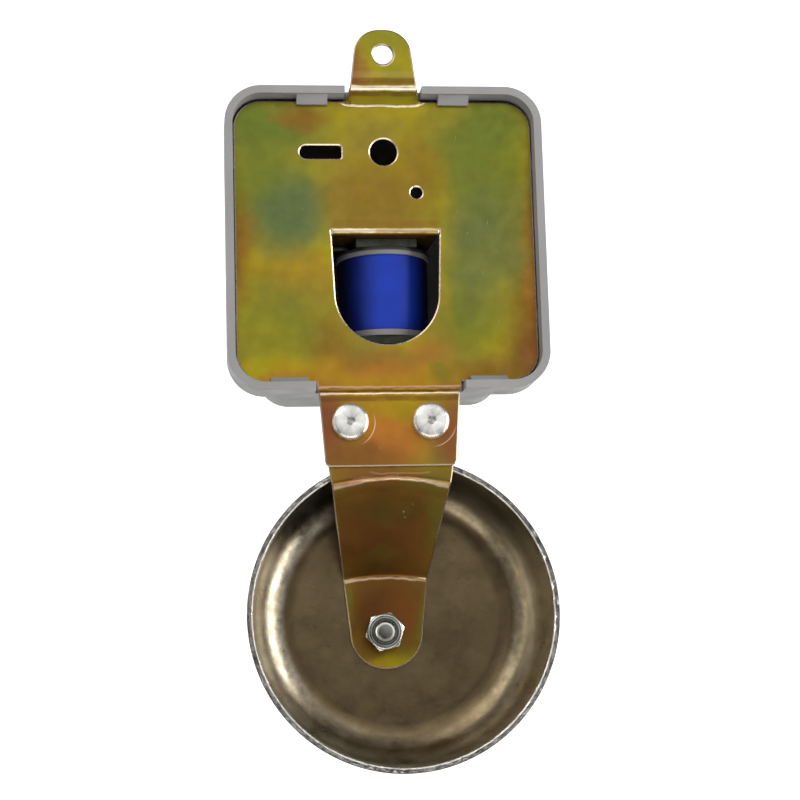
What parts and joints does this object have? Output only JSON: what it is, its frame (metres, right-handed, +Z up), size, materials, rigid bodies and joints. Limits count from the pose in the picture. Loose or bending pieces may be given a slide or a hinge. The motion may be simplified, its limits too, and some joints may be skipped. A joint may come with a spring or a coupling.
{
  "type": "electric wall bell",
  "caption": "Mains wall bell: a solenoid under a clipped-on cover drives a plunger rod down onto a round gong hung below on a bent bracket.",
  "frame": {"origin": "centre of the hanging hole, on the wall side of its tab", "axes": "+Z up as the bell hangs, +Y into the wall (the wall is the plane Y = 0), so the front faces -Y and +X is to the right seen from the front"},
  "size_m": [0.0736, 0.033, 0.1675],
  "materials": {
    "passivated_steel": "yellow iridescent zinc passivation on sheet steel",
    "grey_plastic": "fine satin moulding",
    "rivet_steel": "turned bright heads",
    "gong_steel": "dark warm pressed steel, satin",
    "zinc_steel": "bright zinc",
    "yoke_steel": "dull plated strip",
    "bobbin_plastic": "cream moulding",
    "copper_wire": "enamelled copper winding",
    "blue_wrap": "glossy insulating film",
    "brass": "drawn brass",
    "spring_steel": "spring steel",
    "plunger_iron": "ground soft iron",
    "nylon": "natural nylon",
    "rubber": "black rubber",
    "black_plastic": "black moulding",
    "lead_sleeve": "green sleeving"
  },
  "bodies": {
    "housing": {"base_plate": "passivated_steel", "cover": "grey_plastic", "gong_bracket": "passivated_steel", "bracket_rivets": "rivet_steel", "gong_screw": "zinc_steel", "gong_washer": "zinc_steel", "gong_nut": "zinc_steel", "yoke": "yoke_steel", "coil_bobbin": "bobbin_plastic", "coil_winding": "copper_wire", "coil_wrap": "blue_wrap", "guide_tube": "brass", "tube_retainer": "spring_steel", "tube_cap": "nylon", "rubber_buffer": "rubber", "guide_bush": "nylon", "return_spring": "spring_steel", "terminal_block": "black_plastic", "terminal_poles": "brass", "clamp_screws": "zinc_steel", "terminal_pin": "spring_steel", "coil_start_lead": "lead_sleeve", "coil_end_lead": "lead_sleeve"},
    "gong": {"gong": "gong_steel"},
    "striker": {"plunger": "plunger_iron", "striker_rod": "brass", "striker_tip": "nylon"}
  },
  "joints": [
    {"name": "plunger_slide", "type": "slide", "parent": "housing", "child": "striker", "axis": [0, 0, -1], "range_m": [0, 0.0024], "stiffness_N_per_m": 150, "springref_m": -0.002, "deforming": ["return_spring"]},
    {"name": "gong_turn", "type": "hinge", "parent": "housing", "child": "gong", "pos_m": [0.0007, -0.0265, -0.13005], "axis": [0, -1, 0], "range_deg": [0, 24]}
  ]
}
